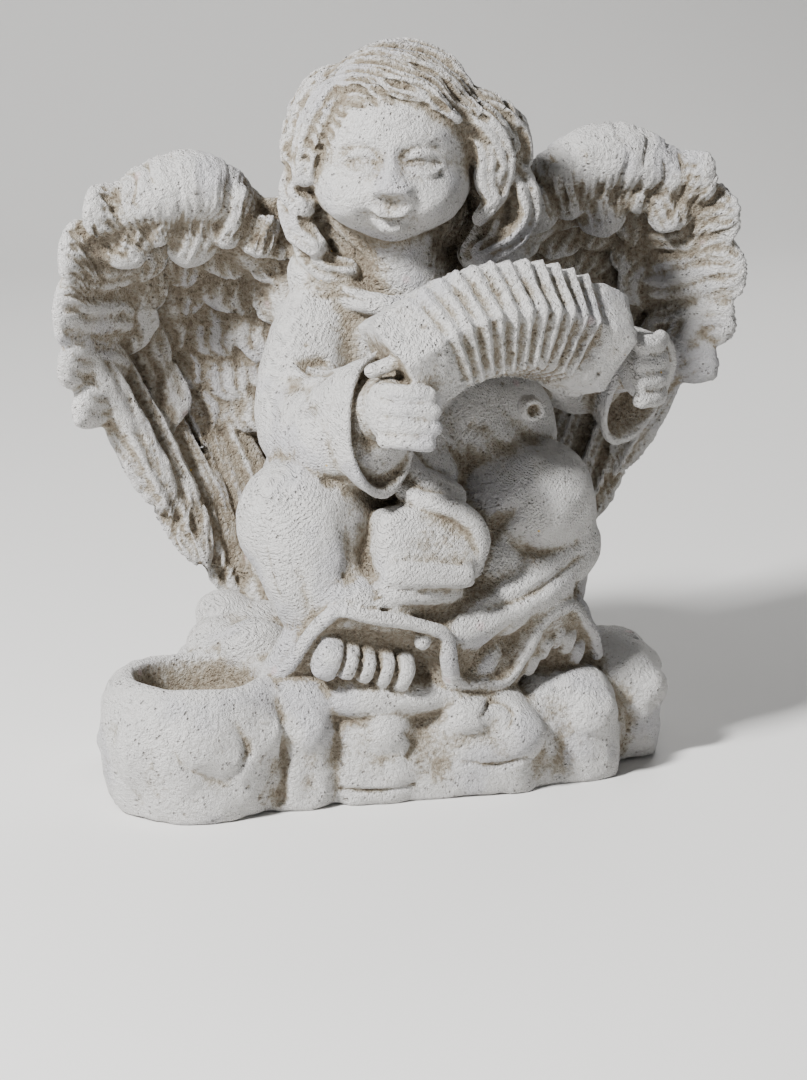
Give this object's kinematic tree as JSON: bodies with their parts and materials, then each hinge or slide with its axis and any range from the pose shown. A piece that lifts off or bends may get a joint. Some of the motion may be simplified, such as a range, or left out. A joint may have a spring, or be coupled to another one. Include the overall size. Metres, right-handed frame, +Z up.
{
  "type": "angel musician figurine",
  "caption": "Seated cherub with two wings playing a concertina, cast in one piece with a cloud base that holds a tea light.",
  "frame": {"origin": "on the ground under the middle of the figure's box", "axes": "+Z up, the figure faces -Y, +X towards its left hand"},
  "size_m": [0.2449, 0.152, 0.2394],
  "materials": {
    "cast_stone": null
  },
  "bodies": {
    "root": {"angel_figurine": "cast_stone"}
  },
  "joints": []
}
